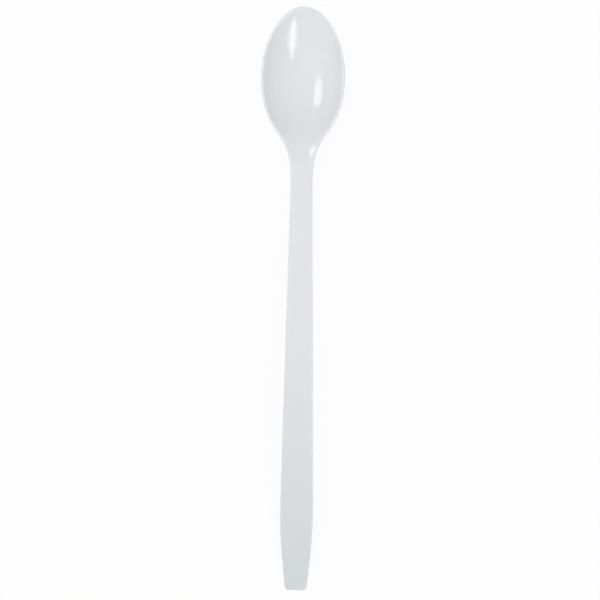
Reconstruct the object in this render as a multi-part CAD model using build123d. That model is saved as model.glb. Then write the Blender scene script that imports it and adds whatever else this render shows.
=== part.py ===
"""An iced tea spoon, moulded in one shot of white plastic.

It lies bowl up on a table. Z is up with the table at 0, Y runs along the spoon with the bowl's
tip at +Y, and X = 0 is its plane of symmetry. The origin is on the table, half way along.
Lengths are in millimetres, and a distance "from the tip" is measured along -Y.

The spoon is one piece: an oval bowl, a narrow neck and a long flat-topped handle. A flange runs
round its edge. It is a thin lip under the bowl's rim and deepens along the neck, so that the
handle's underside is a shallow channel. Bowl and handle share one even wall.
"""

from build123d import *
import math
import os

import numpy as np

# Plan, as seen from straight above. A "half" is from the plane of symmetry to one edge, and a
# "pull" is how far a curve runs on in its own direction before it starts to turn.
overall_length = 203.2
bowl_half = 14.6
bowl_widest_from_tip = 24.3
tip_pull = 7.45
side_pull_to_tip = 12.7
side_pull_to_neck = 9.0
shoulder_half = 9.15
shoulder_from_tip = 43.4
shoulder_angle = 35.2  # from the spoon's length
shoulder_pull_to_bowl = 5.8
shoulder_pull_to_neck = 8.0
neck_half = 3.84
neck_from_tip = 66.9
neck_pull = 15.0
grip_half = 5.86  # where the handle's two tapers would meet
grip_from_tail = 21.4
grip_blend_radius = 166.0
tail_half = 3.7
tail_corner_radius = 1.3

# Bowl
bowl_depth = 7.1  # rim to floor, inside
bowl_wall = 1.15
bowl_fullness = 0.25  # 0 is a plain parabola across, and more gives a flatter floor
bowl_foot_flat = 0.1  # how much the underside is flattened where it rests
rim_flat = 0.1  # width of the flat strip left along the top of the rounded rim
rim_edge_more = 0.3  # the rim's outer edge is this much thicker than the bowl's wall
hollow_fades_past_shoulder = 6.6  # from here on the hollow runs out evenly into the neck

# Handle
top_wall = 1.2
flange_wall = 1.15
flange_depth = 3.6
tail_depth = 2.9
tail_foot_flat = 0.3  # how much the tail is flattened where it rests
flange_eases_from_tail = 53.0  # from here on its depth eases to the tail's
channel_corner_radius = 0.6

# The top line as seen from the side: the bowl's rim, then the handle's flat top. A "rise" is
# from the rim beside the deepest part of the bowl.
tip_drop = 0.9
shoulder_rise = 1.1
neck_rise = 3.5
crest_rise = 6.0
crest_from_tip = 112.0
fall_rise = 1.5
fall_from_tail = 40.0

# Rounded edges
top_edge_radius = 0.4  # all round the outside, above
rim_edge_radius = 0.5  # from the rim into the bowl
under_edge_radius = 0.25

# Round witness marks that the ejector pins leave on the channel's ceiling
pin_mark_radius = 1.5
pin_mark_height = 0.15
pin_mark_count = 4
first_pin_mark_from_tip = 72.0
last_pin_mark_from_tail = 29.0

# Worked out from the sizes above
rim_height = bowl_depth + bowl_wall - bowl_foot_flat
rim_edge = bowl_wall + rim_edge_more
rim_turn = math.atan(2 * bowl_depth * (1 + bowl_fullness) / bowl_half)  # from the rim to the bowl's side
rim_land = top_edge_radius + rim_flat + rim_edge_radius * math.tan(rim_turn / 2)
hollow_half = bowl_half - rim_land
hollow_fades_from_tip = shoulder_from_tip + hollow_fades_past_shoulder
tail_height = tail_depth - tail_foot_flat

# Working values: how far a cutting block runs past what it cuts, and how finely curves and
# surfaces are worked out
margin = 5.0
reach = bowl_half + margin
ceiling = rim_height + crest_rise + bowl_half + margin
bottom = -margin
curve_samples = 400
flange_stations = 45
channel_stations = 9
sheet_margin = 1.4
sheet_past_hollow = 12.0
sheet_end = hollow_fades_from_tip + sheet_past_hollow
sheet_rows = 60
sheet_columns = 21
sheet_tolerance = 0.001
slope_step = 0.2
tolerance = 0.01
steepest_edge = 0.9


def at(from_tip):
    """The Y of a place that is so far from the bowl's tip."""
    return overall_length / 2 - from_tip


# Plan -------------------------------------------------------------------------------------


def bowl_and_neck_side():
    """The right-hand edge of the bowl and neck in plan, from the bowl's tip."""
    tip = Vector(0, at(0))
    widest = Vector(bowl_half, at(bowl_widest_from_tip))
    shoulder = Vector(shoulder_half, at(shoulder_from_tip))
    neck, grip = handle_corners()[:2]

    outwards = Vector(1, 0)
    back = Vector(0, -1)
    slanting = back.rotate(Axis.Z, -shoulder_angle)
    widening = (grip - neck).normalized()

    bowl_front = Bezier(
        tip,
        tip + outwards * tip_pull,
        widest - back * side_pull_to_tip,
        widest,
    )
    bowl_back = Bezier(
        widest,
        widest + back * side_pull_to_neck,
        shoulder - slanting * shoulder_pull_to_bowl,
        shoulder,
    )
    neck_side = Bezier(
        shoulder,
        shoulder + slanting * shoulder_pull_to_neck,
        neck - widening * neck_pull,
        neck,
    )
    return [bowl_front, bowl_back, neck_side]


def handle_corners():
    """The straight runs of the handle's right-hand edge, as far as the middle of the tail."""
    return [
        Vector(neck_half, at(neck_from_tip)),
        Vector(grip_half, at(overall_length - grip_from_tail)),
        Vector(tail_half, at(overall_length)),
        Vector(0, at(overall_length)),
    ]


def inwards(tangent):
    """The direction into the spoon from its right-hand edge, which runs from tip to tail."""
    return Vector(tangent.Y, -tangent.X).normalized()


def moved_in(corners, distance):
    """The corners of a chain of straight runs, each run moved into the spoon by a distance."""
    sides = [inwards(end - start) for start, end in zip(corners, corners[1:])]
    moved = [corners[0] + sides[0] * distance]
    for corner, before, after in zip(corners[1:], sides, sides[1:]):
        moved.append(corner + (before + after) * (distance / (1 + before.dot(after))))
    moved.append(corners[-1] + sides[-1] * distance)
    return moved


def handle_side(distance_in=0.0):
    """The handle's right-hand edge in plan, or a line that runs inside it all the way."""
    radii = [grip_blend_radius - distance_in, tail_corner_radius - distance_in]
    least = channel_corner_radius
    corners = moved_in(handle_corners(), distance_in)
    return FilletPolyline(*corners, radius=[max(radius, least) for radius in radii]).edges()


def plan_face():
    """The whole outline in plan."""
    right = bowl_and_neck_side() + handle_side()
    return make_face(right + [mirror(edge, Plane.YZ) for edge in right])


def channel_face():
    """The channel under the handle in plan, run on under the neck as far as the shoulders."""
    neck_side = bowl_and_neck_side()[2]
    inner_neck = Spline(
        [
            neck_side @ share + inwards(neck_side % share) * flange_wall
            for share in np.linspace(0, 1, channel_stations)
        ],
        tangents=[neck_side % 0, neck_side % 1],
    )
    right = [inner_neck, *handle_side(flange_wall)]
    front = inner_neck @ 0
    middle = Vector(0, front.Y)
    right = [Line(middle, front)] + right
    return make_face(right + [mirror(edge, Plane.YZ) for edge in right])


# Side -------------------------------------------------------------------------------------


def top_line():
    """The top line in the plane of symmetry, run on straight past the tip and the tail."""
    stations = [
        (0.0, rim_height - tip_drop),
        (bowl_widest_from_tip, rim_height),
        (shoulder_from_tip, rim_height + shoulder_rise),
        (neck_from_tip, rim_height + neck_rise),
        (crest_from_tip, rim_height + crest_rise),
        (overall_length - fall_from_tail, rim_height + fall_rise),
        (overall_length, tail_height),
    ]
    line = Spline([Vector(0, at(from_tip), height) for from_tip, height in stations])
    before = Line(line @ 0 - (line % 0) * margin, line @ 0)
    after = Line(line @ 1, line @ 1 + (line % 1) * margin)
    return [before, line, after]


shares = np.linspace(0, 1, curve_samples)
top_points = np.array([tuple(edge @ share) for edge in top_line() for share in shares])


def top_height(y):
    """Height of the top line at a given Y."""
    return np.interp(-y, -top_points[:, 1], top_points[:, 2])


def ease(share):
    """0 up to a share of 0, 1 from a share of 1, and a smooth step between."""
    share = np.clip(share, 0, 1)
    return share**2 * (3 - 2 * share)


def flange_depth_at(from_tip):
    """Depth of the flange below the top line: the rim's edge, the handle's, then the tail's."""
    past_shoulder = ease((from_tip - shoulder_from_tip) / (neck_from_tip - shoulder_from_tip))
    from_tail = overall_length - from_tip
    towards_tail = ease(1 - from_tail / flange_eases_from_tail)
    depth = rim_edge + (flange_depth - rim_edge) * past_shoulder
    return depth + (tail_depth - flange_depth) * towards_tail


def flange_line():
    """The flange's lower edge, as seen from the side."""
    stations = np.linspace(-margin, overall_length + margin, flange_stations)
    depths = flange_depth_at(stations)
    return [Spline([Vector(0, y, top_height(y) - depth) for y, depth in zip(at(stations), depths)])]


def below(line, drop=0.0):
    """A block under a line as seen from the side, wider than the spoon."""
    line = [Pos(0, 0, -drop) * edge for edge in line]
    first = line[0] @ 0
    last = line[-1] @ 1
    skirt = Polyline(last, Vector(0, last.Y, bottom), Vector(0, first.Y, bottom), first)
    side = make_face(line + skirt.edges())
    return Pos(-reach, 0, 0) * extrude(side, amount=2 * reach, dir=(1, 0, 0))


# Bowl -------------------------------------------------------------------------------------


def hollow_edge():
    """Distances from the tip, and squared half widths there, of the rim's inner edge before rounding.

    Both run on evenly past the tip and past the place where the hollow starts to fade.
    """
    rows = []
    for edge in bowl_and_neck_side():
        for share in shares:
            inner = edge @ share + inwards(edge % share) * rim_land
            rows.append((at(0) - inner.Y, inner.X**2))
    rows = [row for row in rows if row[0] <= hollow_fades_from_tip]
    places, squares = np.array(rows).T
    before = squares[0] - margin * (squares[1] - squares[0]) / (places[1] - places[0])
    after = squares[-1] + sheet_end * (squares[-1] - squares[-2]) / (places[-1] - places[-2])
    return (
        np.concatenate([[places[0] - margin], places, [places[-1] + sheet_end]]),
        np.concatenate([[before], squares, [after]]),
    )


edge_places, edge_squares = hollow_edge()


def floor_height(x, y):
    """Height of the bowl's floor, which rises past the top line outside the hollow."""
    square = np.interp(at(0) - y, edge_places, edge_squares)
    share = (square - x**2) / hollow_half**2
    return top_height(y) - bowl_depth * ((1 + bowl_fullness) * share - bowl_fullness * share**2)


def underside_height(x, y):
    """Height of the bowl's underside, a wall's thickness from the floor."""
    across = (floor_height(x + slope_step, y) - floor_height(x - slope_step, y)) / (2 * slope_step)
    along = (floor_height(x, y + slope_step) - floor_height(x, y - slope_step)) / (2 * slope_step)
    return floor_height(x, y) - bowl_wall * np.sqrt(1 + across**2 + along**2)


def sheet(height):
    """A smooth surface through heights over the bowl and neck."""
    side = bowl_half + sheet_margin
    across = np.linspace(-side, side, sheet_columns)
    along = np.linspace(at(-sheet_margin), at(sheet_end), sheet_rows)
    rows = [[(x, y, float(height(x, y))) for x in across] for y in along]
    return Face.make_surface_from_array_of_points(rows, tol=sheet_tolerance, min_deg=3)


# The spoon --------------------------------------------------------------------------------


def upright(face, low, high):
    """A face in plan made into a block between two heights."""
    return Pos(0, 0, low) * extrude(face, amount=high - low)


def channel():
    """The space between the handle's flanges, with a low round pad left at each pin."""
    space = upright(channel_face(), bottom, ceiling) & below(top_line(), top_wall)
    pin = upright(Circle(pin_mark_radius), bottom, ceiling)
    pads = below(top_line(), top_wall + pin_mark_height)
    last_pin_mark_from_tip = overall_length - last_pin_mark_from_tail
    for from_tip in np.linspace(first_pin_mark_from_tip, last_pin_mark_from_tip, pin_mark_count):
        space -= Pos(0, at(from_tip)) * pin - pads
    return space


def underside_space():
    """All the space under the spoon: round the bowl, below the flange and in the channel."""
    under_bowl = extrude(sheet(underside_height), amount=ceiling - bottom, dir=(0, 0, -1))
    past_bowl = Pos(0, at(sheet_end)) * Box(
        2 * reach, overall_length, 2 * ceiling, align=(Align.CENTER, Align.MAX, Align.CENTER)
    )
    return (below(flange_line()) + channel()) & (under_bowl + past_bowl)


def top_face(spoon):
    """The flat top of the handle, which runs on round the bowl as its rim."""
    crest = Vector(0, at(crest_from_tip), rim_height + crest_rise)
    return spoon.faces().sort_by_distance(crest)[0]


def under_edges(spoon):
    """The lower edges of the spoon's outer wall."""
    outline = plan_face().face().outer_wire()
    chosen = []
    for edge in spoon.edges():
        middle = edge @ 0.5
        on_wall = outline.distance_to(Vector(middle.X, middle.Y)) < tolerance
        low = middle.Z < top_height(middle.Y) - rim_edge / 2
        level = abs((edge % 0.5).Z) < steepest_edge
        if on_wall and low and level:
            chosen.append(edge)
    return chosen


def make_spoon():
    """The whole spoon, with its edges rounded and its underside flattened where it rests."""
    blank = upright(plan_face(), bottom, ceiling) & below(top_line())
    hollow = extrude(sheet(floor_height), amount=ceiling, dir=(0, 0, 1))
    spoon = blank - hollow - underside_space()
    spoon = fillet(top_face(spoon).outer_wire().edges(), top_edge_radius)
    spoon = fillet(top_face(spoon).inner_wires()[0].edges(), rim_edge_radius)
    spoon = fillet(under_edges(spoon), under_edge_radius)
    return split(spoon, bisect_by=Plane.XY, keep=Keep.TOP)


def main():
    os.makedirs("parts", exist_ok=True)
    export_step(make_spoon().solid(), "parts/spoon.step")


if __name__ == "__main__":
    main()
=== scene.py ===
"""Finish and studio set for a moulded iced tea spoon.

The spoon is one shot of white plastic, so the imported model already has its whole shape. This file gives it
the glossy, slightly milky surface of the real moulding, and sets the floor, lamps and camera round it.
"""

import math

import bmesh
import bpy
from bpy.props import FloatProperty, FloatVectorProperty, PointerProperty
from mathutils import Matrix, Vector


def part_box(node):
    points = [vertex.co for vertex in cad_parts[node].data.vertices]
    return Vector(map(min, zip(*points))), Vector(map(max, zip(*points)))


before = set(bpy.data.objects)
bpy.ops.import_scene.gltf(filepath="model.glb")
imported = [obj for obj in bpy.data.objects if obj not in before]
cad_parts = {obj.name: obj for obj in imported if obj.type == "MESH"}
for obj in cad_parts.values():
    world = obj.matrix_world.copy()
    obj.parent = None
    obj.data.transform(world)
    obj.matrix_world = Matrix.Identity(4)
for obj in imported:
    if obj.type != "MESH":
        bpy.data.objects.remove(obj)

bl_info = {
    "name": "Iced tea spoon",
    "version": (1, 0, 0),
    "blender": (4, 5, 0),
    "location": "3D View > Sidebar > Spoon",
    "description": "White moulded plastic for an iced tea spoon, with its studio floor, lamps and camera",
    "category": "Object",
}

MILLIMETRE = 0.001
SPOON = "spoon"
END_REACH = 0.02 * MILLIMETRE  # what lies this near to the end of the spoon's box is its very end

# Where the two ends of the spoon lie in the 600 pixel square photograph, as (right, down).
PHOTO_PIXELS = 600
TIP_PIXEL = (304.05, 6.55)
TAIL_PIXEL = (295.50, 589.95)

# The middle of the bowl, as a share of the way from the spoon's middle to its tip. Four lamps show in the
# bowl, and these are the ends of each, as a direction from there and a distance.
BOWL_SHARE = 0.76
RIGHT_STRIP_ENDS = ((Vector((0.434, -0.115, 0.893)), 1.00), (Vector((0.475, -0.690, 0.565)), 0.45))
RIGHT_OVAL_ENDS = ((Vector((0.462, -0.275, 0.843)), 0.62), (Vector((0.475, -0.700, 0.560)), 0.45))
LEFT_STRIP_ENDS = ((Vector((-0.582, 0.180, 0.793)), 0.50), (Vector((-0.543, 0.500, 0.675)), 0.45))
LEFT_OVAL_ENDS = ((Vector((-0.588, 0.085, 0.804)), 0.52), (Vector((-0.536, 0.540, 0.649)), 0.45))
LAMP_FILL = {"RECTANGLE": 1, "ELLIPSE": math.pi / 4}  # share of its length times its width that glows

# Pigment: the flow lines' share of the mix with the slow cloudiness, and the size of a cloud.
FLOW_SHARE = 0.6
CLOUD_SIZE = 14 * MILLIMETRE

# Gloss: the size of a patch of haze, and the runs of hairline scuffs, as (length, turn). A scuff shows where
# its noise rises from the first edge to the second.
HAZE_SIZE = 5 * MILLIMETRE
SCUFF_WIDTH = 0.12 * MILLIMETRE
SCUFF_RUNS = ((9 * MILLIMETRE, math.radians(14)), (6 * MILLIMETRE, math.radians(-33)))
SCUFF_EDGES = (0.66, 0.74)

# Relief: the fine grain of the mould.
GRAIN_SIZE = 0.5 * MILLIMETRE
GRAIN_HEIGHT = 0.002 * MILLIMETRE

# Milk: how far red, green and blue light spread in the plastic, as shares of the milk depth.
MILK_SPREAD = (1.0, 0.95, 0.9)


# ---------------------------------------------------------------------------------------------------------
# Settings
# ---------------------------------------------------------------------------------------------------------

class PlasticSettings(bpy.types.PropertyGroup):
    """The finish of the spoon."""

    tone: FloatVectorProperty(
        name="Tone", description="Colour of the plastic", subtype="COLOR", size=3, min=0, max=1,
        default=(0.756, 0.775, 0.808))
    warm_tone: FloatVectorProperty(
        name="Warm tone", description="Colour where the pigment gathered as the mould filled",
        subtype="COLOR", size=3, min=0, max=1, default=(0.767, 0.779, 0.796))
    # Painted shade: a darker, cooler colour for the tail, standing in for the light that falls off there.
    painted_shade_tail_tone: FloatVectorProperty(
        name="Tail tone", description="Colour that the plastic drifts to at the tail", subtype="COLOR",
        size=3, min=0, max=1, default=(0.722, 0.759, 0.785))
    roughness: FloatProperty(
        name="Roughness", description="Roughness of the polished faces", subtype="FACTOR", min=0, max=1,
        default=0.09)
    haze: FloatProperty(
        name="Haze", description="How far the roughness wanders over the surface", subtype="FACTOR",
        min=0, max=1, default=0.05)
    scuff: FloatProperty(
        name="Scuff", description="Extra roughness along hairline scuffs", subtype="FACTOR", min=0, max=1,
        default=0.16)
    ripple_height: FloatProperty(
        name="Ripple height", description="Height of the slow ripple left by cooling", unit="LENGTH", min=0,
        precision=6, default=0.02 * MILLIMETRE)
    ripple_length: FloatProperty(
        name="Ripple length", description="Distance from one ripple to the next", unit="LENGTH",
        min=0.5 * MILLIMETRE, default=9 * MILLIMETRE)
    flow_width: FloatProperty(
        name="Flow line width", description="Width of a flow line in the plastic", unit="LENGTH",
        min=0.2 * MILLIMETRE, default=3 * MILLIMETRE)
    flow_length: FloatProperty(
        name="Flow line length", description="Length of a flow line, along the spoon", unit="LENGTH",
        min=1 * MILLIMETRE, default=40 * MILLIMETRE)
    milkiness: FloatProperty(
        name="Milkiness", description="Share of light that spreads inside the plastic", subtype="FACTOR",
        min=0, max=1, default=0.3)
    milk_depth: FloatProperty(
        name="Milk depth", description="How far light spreads inside the plastic", unit="LENGTH", min=0,
        default=0.8 * MILLIMETRE)
    refraction: FloatProperty(
        name="Refraction", description="Refractive index of the plastic", min=1, max=2, default=1.55)


class StageSettings(bpy.types.PropertyGroup):
    """Floor, lamps and camera."""

    floor_size: FloatProperty(
        name="Floor size", description="Side of the square floor", unit="LENGTH", min=0.3, default=6)
    floor_colour: FloatVectorProperty(
        name="Floor colour", description="Colour of the matt floor", subtype="COLOR", size=3, min=0, max=1,
        default=(0.9, 0.9, 0.9))
    floor_shade: FloatProperty(
        name="Floor shade", description="Share of the floor that takes shadow in front of the camera",
        subtype="FACTOR", min=0, max=1, default=0.08)
    room_level: FloatProperty(
        name="Room level", description="Brightness of the room all round", min=0, default=0.53)
    box_size: FloatProperty(
        name="Soft box size", description="Side of each soft box", unit="LENGTH", min=0.1, default=0.30)
    top_box_place: FloatVectorProperty(
        name="Top box place", description="Centre of the soft box above the bowl", subtype="TRANSLATION",
        size=3, default=(-0.07, 0.08, 0.34))
    top_box_level: FloatProperty(
        name="Top box level", description="Brightness of the face of the top box", min=0, default=0.84)
    side_box_place: FloatVectorProperty(
        name="Side box place", description="Centre of the soft box beside the handle",
        subtype="TRANSLATION", size=3, default=(-0.40, 0.0, 0.20))
    side_box_level: FloatProperty(
        name="Side box level", description="Brightness of the face of the side box", min=0, default=0.575)
    right_strip_width: FloatProperty(
        name="Right strip width", description="Width of the long thin lamp on the right", unit="LENGTH",
        min=0.005, default=0.135)
    right_oval_width: FloatProperty(
        name="Right oval width", description="Width of the short wide lamp on the right", unit="LENGTH",
        min=0.005, default=0.265)
    left_strip_width: FloatProperty(
        name="Left strip width", description="Width of the strip lamp on the left", unit="LENGTH",
        min=0.005, default=0.155)
    left_oval_width: FloatProperty(
        name="Left oval width", description="Width of the long oval lamp on the left", unit="LENGTH",
        min=0.005, default=0.185)
    right_strip_level: FloatProperty(
        name="Right strip level", description="Brightness of the face of the right strip", min=0, default=2.7)
    right_oval_level: FloatProperty(
        name="Right oval level", description="Brightness of the face of the right oval", min=0, default=2.1)
    left_strip_level: FloatProperty(
        name="Left strip level", description="Brightness of the face of the left strip", min=0, default=2.1)
    left_oval_level: FloatProperty(
        name="Left oval level", description="Brightness of the face of the left oval", min=0, default=1.5)
    lens: FloatProperty(
        name="Lens", description="Focal length of the camera", unit="CAMERA", min=20, default=200)
    sensor: FloatProperty(
        name="Sensor", description="Width of the sensor", unit="CAMERA", min=5, default=36)


# ---------------------------------------------------------------------------------------------------------
# Shader building
# ---------------------------------------------------------------------------------------------------------

class Wire:
    """One value in a shader. Plain maths on it adds the Math nodes."""

    def __init__(self, tree, socket):
        self.tree = tree
        self.socket = socket

    def maths(self, operation, first, second):
        node = self.tree.nodes.new("ShaderNodeMath")
        node.operation = operation
        for socket, value in zip(node.inputs, (first, second)):
            if isinstance(value, Wire):
                self.tree.links.new(value.socket, socket)
            else:
                socket.default_value = value
        return Wire(self.tree, node.outputs[0])

    def __add__(self, other):
        return self.maths("ADD", self, other)

    def __radd__(self, other):
        return self.maths("ADD", other, self)

    def __sub__(self, other):
        return self.maths("SUBTRACT", self, other)

    def __rsub__(self, other):
        return self.maths("SUBTRACT", other, self)

    def __mul__(self, other):
        return self.maths("MULTIPLY", self, other)

    def __rmul__(self, other):
        return self.maths("MULTIPLY", other, self)


class Shader:
    """A node tree that is filled one node at a time."""

    def __init__(self, owner):
        owner.use_nodes = True
        self.tree = owner.node_tree
        self.tree.nodes.clear()

    def add(self, kind, settings=None, **sockets):
        """Adds a node, sets it, and fills its sockets with values or links. Underlines stand for spaces."""
        node = self.tree.nodes.new(kind)
        for name, value in (settings or {}).items():
            setattr(node, name, value)
        for name, value in sockets.items():
            socket = self.named(node.inputs, name)
            if isinstance(value, Wire):
                self.tree.links.new(value.socket, socket)
            else:
                socket.default_value = value
        return node

    def named(self, sockets, name):
        """The enabled socket of that name, because some nodes hide others of the same name."""
        wanted = name.replace("_", " ")
        return next(socket for socket in sockets if socket.name == wanted and socket.enabled)

    def wire(self, node, output):
        return Wire(self.tree, self.named(node.outputs, output))

    def put(self, kind, output, settings=None, **sockets):
        """Adds a node and gives back one of its outputs."""
        return self.wire(self.add(kind, settings, **sockets), output)

    def blend(self, first, second, share):
        """Blends two shaders, with that share of the second."""
        mix = self.add("ShaderNodeMixShader", Fac=share)
        for socket, side in zip(mix.inputs[1:], (first, second)):
            self.tree.links.new(side.socket, socket)
        return self.wire(mix, "Shader")


def stretched_noise(shader, place, size, turn=0.0, detail=2.0):
    """Noise from 0 to 1 whose grains measure size (across, along, up), turned about the upright axis."""
    scale = Vector([1 / side for side in size])
    placed = shader.put(
        "ShaderNodeMapping", "Vector", Vector=place, Rotation=(0, 0, turn), Scale=scale)
    return shader.put("ShaderNodeTexNoise", "Fac", Vector=placed, Scale=1.0, Detail=detail, Roughness=0.5)


def white_plastic(settings):
    """Polished, slightly milky white plastic, with flow lines, cooling ripple, haze and hairline scuffs."""
    material = bpy.data.materials.new("white_plastic_moulded")
    shader = Shader(material)
    place = shader.put("ShaderNodeTexCoord", "Object")

    # Pigment: long faint streaks where the plastic flowed, over a slow cloudiness.
    flow = stretched_noise(
        shader, place, (settings.flow_width, settings.flow_length, settings.flow_width), detail=3.0)
    cloud = stretched_noise(shader, place, (CLOUD_SIZE,) * 3)
    colour = shader.put(
        "ShaderNodeMix", "Result", {"data_type": "RGBA"},
        Factor=flow * FLOW_SHARE + cloud * (1 - FLOW_SHARE),
        A=(*settings.tone, 1), B=(*settings.warm_tone, 1))

    # Painted shade: the colour drifts darker and cooler from the middle of the spoon to its tail, standing in
    # for the light that falls off there.
    low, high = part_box(SPOON)
    along = shader.put("ShaderNodeSeparateXYZ", "Y", Vector=place)
    towards_shaded_tail = shader.put(
        "ShaderNodeMapRange", "Result", {"interpolation_type": "SMOOTHSTEP"}, Value=along,
        From_Min=(low.y + high.y) / 2, From_Max=low.y)
    colour = shader.put(
        "ShaderNodeMix", "Result", {"data_type": "RGBA"}, Factor=towards_shaded_tail, A=colour,
        B=(*settings.painted_shade_tail_tone, 1))

    # Gloss: the polish of the mould wears unevenly, and hairline scuffs cross it two ways.
    haze = stretched_noise(shader, place, (HAZE_SIZE,) * 3, detail=4.0)
    roughness = settings.roughness + (haze - 0.5) * settings.haze
    for length, turn in SCUFF_RUNS:
        streaks = stretched_noise(shader, place, (SCUFF_WIDTH, length, SCUFF_WIDTH), turn)
        scuffs = shader.put(
            "ShaderNodeMapRange", "Result", Value=streaks, From_Min=SCUFF_EDGES[0], From_Max=SCUFF_EDGES[1])
        roughness = roughness + scuffs * settings.scuff

    # Relief: the slow ripple of cooling plastic, and a very fine grain from the mould.
    ripple = stretched_noise(shader, place, (settings.ripple_length,) * 3, detail=1.0)
    rippled = shader.put("ShaderNodeBump", "Normal", Distance=settings.ripple_height, Height=ripple)
    grain = stretched_noise(shader, place, (GRAIN_SIZE,) * 3)
    relief = shader.put("ShaderNodeBump", "Normal", Distance=GRAIN_HEIGHT, Height=grain, Normal=rippled)

    surface = shader.put(
        "ShaderNodeBsdfPrincipled", "BSDF", Base_Color=colour, Roughness=roughness, Normal=relief,
        IOR=settings.refraction, Subsurface_Weight=settings.milkiness, Subsurface_Radius=MILK_SPREAD,
        Subsurface_Scale=settings.milk_depth)
    shader.add("ShaderNodeOutputMaterial", Surface=surface)
    return material


def seen_as_backdrop(shader):
    """1 where a surface is looked at, by the camera or in a gloss, and 0 where it lights another one."""
    path = shader.add("ShaderNodeLightPath")
    seen = shader.wire(path, "Is Camera Ray") + shader.wire(path, "Is Glossy Ray")
    return seen + shader.wire(path, "Is Transmission Ray")


def pale_floor(settings):
    """A matt floor that looks plain white, and keeps a share of its shadow."""
    material = bpy.data.materials.new("pale_floor")
    shader = Shader(material)
    matt = shader.put("ShaderNodeBsdfDiffuse", "BSDF", Color=(*settings.floor_colour, 1))
    white = shader.put("ShaderNodeEmission", "Emission", Color=(1, 1, 1, 1), Strength=1.0)
    share = seen_as_backdrop(shader) * (1 - settings.floor_shade)
    surface = shader.blend(matt, white, share)
    shader.add("ShaderNodeOutputMaterial", Surface=surface)
    return material


# ---------------------------------------------------------------------------------------------------------
# Making
# ---------------------------------------------------------------------------------------------------------

def dress(node_name, material):
    """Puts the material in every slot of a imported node."""
    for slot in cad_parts[node_name].material_slots:
        slot.material = material


def lay_floor(settings):
    """A square floor at the height that the spoon rests on."""
    grid = bmesh.new()
    bmesh.ops.create_grid(grid, x_segments=1, y_segments=1, size=settings.floor_size / 2)
    mesh = bpy.data.meshes.new("floor")
    grid.to_mesh(mesh)
    grid.free()
    floor = bpy.data.objects.new("floor", mesh)
    mesh.materials.append(pale_floor(settings))
    bpy.context.scene.collection.objects.link(floor)


def hang_lamp(name, shape, centre, along, target, size, level, mirrored):
    """A flat lamp at centre whose long side runs along, and whose face, of that brightness, points at target.

    A lamp that isn't mirrored only lights the plastic, and one that is shows in its gloss as well.
    """
    lamp = bpy.data.lights.new(name, "AREA")
    lamp.shape = shape
    lamp.size, lamp.size_y = size
    lamp.energy = level * math.pi * size[0] * size[1] * LAMP_FILL[shape]
    long_side = along.normalized()
    sight = centre - target
    back = (sight - sight.project(long_side)).normalized()
    turn = Matrix((long_side, back.cross(long_side), back)).transposed().to_4x4()
    hung = bpy.data.objects.new(name, lamp)
    hung.matrix_world = Matrix.Translation(centre) @ turn
    hung.visible_camera = False
    hung.visible_glossy = mirrored
    bpy.context.scene.collection.objects.link(hung)


def hang_soft_box(name, place, size, level):
    """A square soft box, turned to the middle line of the spoon. It only lights the plastic."""
    centre = Vector(place)
    target = Vector((0, centre.y, 0))
    hang_lamp(name, "RECTANGLE", centre, Vector((0, 1, 0)), target, (size, size), level, False)


def hang_mirrored(name, shape, ends, width, bowl, level):
    """A lamp that shows in the bowl, from one end to the other. The end that hangs nearer shows wider."""
    first, last = [bowl + direction * distance for direction, distance in ends]
    size = ((last - first).length, width)
    hang_lamp(name, shape, (first + last) / 2, last - first, bowl, size, level, True)


def light_room(settings):
    """An even room that looks plain white."""
    room = bpy.data.worlds.new("room")
    shader = Shader(room)
    glow = shader.put("ShaderNodeBackground", "Background", Color=(1, 1, 1, 1), Strength=settings.room_level)
    white = shader.put("ShaderNodeBackground", "Background", Color=(1, 1, 1, 1), Strength=1.0)
    surface = shader.blend(glow, white, seen_as_backdrop(shader))
    shader.add("ShaderNodeOutputWorld", Surface=surface)
    bpy.context.scene.world = room


def end_points():
    """The highest points of the spoon's very tip and very tail."""
    low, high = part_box(SPOON)
    points = [vertex.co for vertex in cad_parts[SPOON].data.vertices]
    tips = [point for point in points if point.y > high.y - END_REACH]
    tails = [point for point in points if point.y < low.y + END_REACH]
    return [max(ends, key=lambda point: point.z) for ends in (tips, tails)]


def set_camera(settings):
    """Looks straight down, turned, placed and raised so that both ends of the spoon fall on their pixels."""
    roll = math.atan2(TIP_PIXEL[0] - TAIL_PIXEL[0], TAIL_PIXEL[1] - TIP_PIXEL[1])
    slope = settings.sensor / settings.lens / PHOTO_PIXELS
    centre = Vector((PHOTO_PIXELS / 2, PHOTO_PIXELS / 2))
    sights = []
    for pixel in (TIP_PIXEL, TAIL_PIXEL):
        right, down = (Vector(pixel) - centre) * slope
        sights.append(Matrix.Rotation(roll, 2) @ Vector((right, -down)))
    tip, tail = end_points()
    tip_sight, tail_sight = sights
    rise = tip_sight.y - tail_sight.y
    height = (tip.y - tail.y + tip_sight.y * tip.z - tail_sight.y * tail.z) / rise
    along = tip.y - tip_sight.y * (height - tip.z)
    across = -(tip_sight.x + tail_sight.x) / 2 * height

    lens = bpy.data.cameras.new("camera")
    lens.lens = settings.lens
    lens.sensor_width = settings.sensor
    camera = bpy.data.objects.new("camera", lens)
    camera.location = (across, along, height)
    camera.rotation_euler = (0, 0, roll)
    bpy.context.scene.collection.objects.link(camera)
    bpy.context.scene.camera = camera


# ---------------------------------------------------------------------------------------------------------
# Operators and panel
# ---------------------------------------------------------------------------------------------------------

class SPOON_OT_finish_plastic(bpy.types.Operator):
    """Give the spoon its white moulded plastic"""

    bl_idname = "spoon.finish_plastic"
    bl_label = "Finish the plastic"

    def execute(self, context):
        dress(SPOON, white_plastic(context.scene.spoon_plastic))
        return {"FINISHED"}


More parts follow.
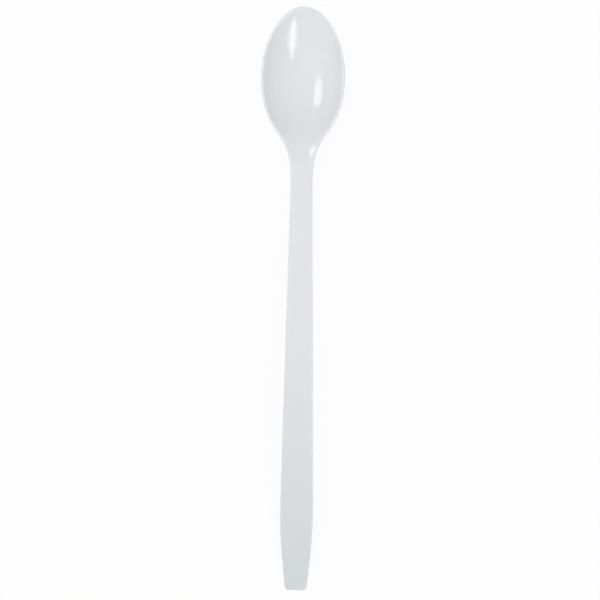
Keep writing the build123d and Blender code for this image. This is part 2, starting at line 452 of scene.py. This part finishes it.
class SPOON_OT_set_stage(bpy.types.Operator):
    """Lay the floor, hang the lamps and set the camera"""

    bl_idname = "spoon.set_stage"
    bl_label = "Set the stage"

    def execute(self, context):
        settings = context.scene.spoon_stage
        context.scene.view_settings.view_transform = "Standard"
        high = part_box(SPOON)[1]
        bowl = Vector((0, high.y * BOWL_SHARE, high.z / 2))
        lay_floor(settings)
        light_room(settings)
        hang_soft_box("top_box", settings.top_box_place, settings.box_size, settings.top_box_level)
        hang_soft_box("side_box", settings.side_box_place, settings.box_size, settings.side_box_level)
        for name, shape, ends, width, level in (
                ("right_strip", "ELLIPSE", RIGHT_STRIP_ENDS,
                 settings.right_strip_width, settings.right_strip_level),
                ("right_oval", "ELLIPSE", RIGHT_OVAL_ENDS,
                 settings.right_oval_width, settings.right_oval_level),
                ("left_strip", "RECTANGLE", LEFT_STRIP_ENDS,
                 settings.left_strip_width, settings.left_strip_level),
                ("left_oval", "ELLIPSE", LEFT_OVAL_ENDS,
                 settings.left_oval_width, settings.left_oval_level)):
            hang_mirrored(name, shape, ends, width, bowl, level)
        set_camera(settings)
        return {"FINISHED"}


class SPOON_PT_making(bpy.types.Panel):
    """Steps and sizes of the spoon"""

    bl_label = "Iced tea spoon"
    bl_space_type = "VIEW_3D"
    bl_region_type = "UI"
    bl_category = "Spoon"

    def draw(self, context):
        for step, settings in (
                (SPOON_OT_finish_plastic, context.scene.spoon_plastic),
                (SPOON_OT_set_stage, context.scene.spoon_stage)):
            box = self.layout.box()
            box.operator(step.bl_idname)
            for name in settings.__annotations__:
                box.prop(settings, name)


CLASSES = (PlasticSettings, StageSettings, SPOON_OT_finish_plastic, SPOON_OT_set_stage, SPOON_PT_making)


def register():
    for each in CLASSES:
        bpy.utils.register_class(each)
    bpy.types.Scene.spoon_plastic = PointerProperty(type=PlasticSettings)
    bpy.types.Scene.spoon_stage = PointerProperty(type=StageSettings)


def unregister():
    del bpy.types.Scene.spoon_stage
    del bpy.types.Scene.spoon_plastic
    for each in reversed(CLASSES):
        bpy.utils.unregister_class(each)


def main():
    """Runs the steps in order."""
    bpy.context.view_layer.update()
    register()
    bpy.ops.spoon.finish_plastic()
    bpy.ops.spoon.set_stage()


if __name__ == "__main__":
    main()
